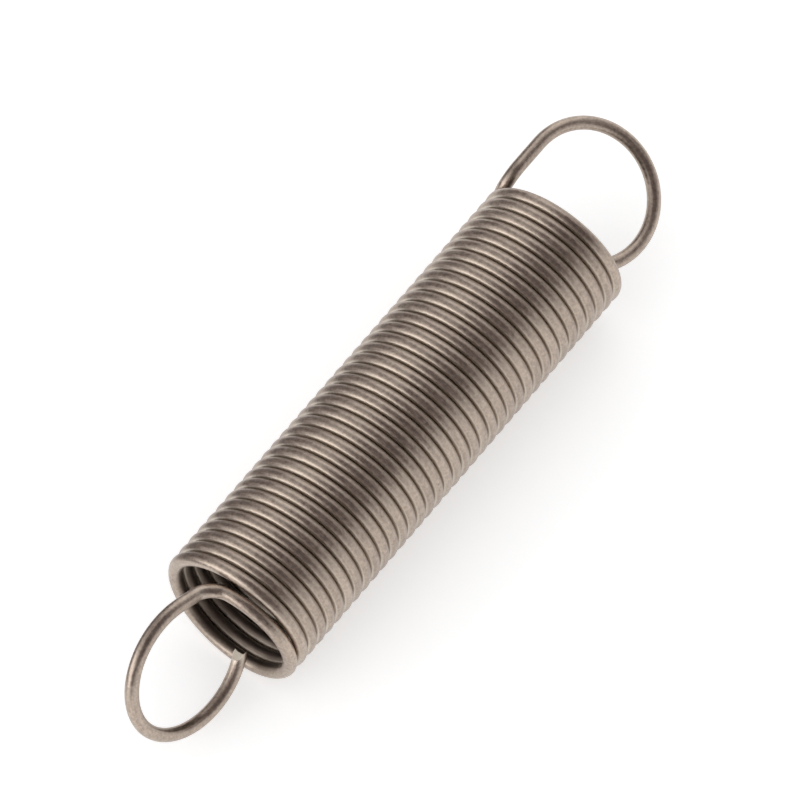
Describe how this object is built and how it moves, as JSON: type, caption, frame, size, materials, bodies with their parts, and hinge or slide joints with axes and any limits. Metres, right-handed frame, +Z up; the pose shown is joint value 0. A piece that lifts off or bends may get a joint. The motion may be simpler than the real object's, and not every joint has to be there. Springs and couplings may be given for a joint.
{
  "type": "extension spring",
  "caption": "Close-wound helical tension spring of round wire with an open round hook at each end, lying on its side.",
  "frame": {"origin": "centre of the spring's box, on the surface that it lies on", "axes": "+X along the coil's axis from the near hook to the far hook, +Z up from the surface, +Y to the side"},
  "size_m": [0.0572, 0.0114, 0.0113],
  "materials": {
    "spring_steel": "drawn wire, satin warm grey"
  },
  "bodies": {
    "root": {"spring_wire": "spring_steel"}
  },
  "joints": []
}
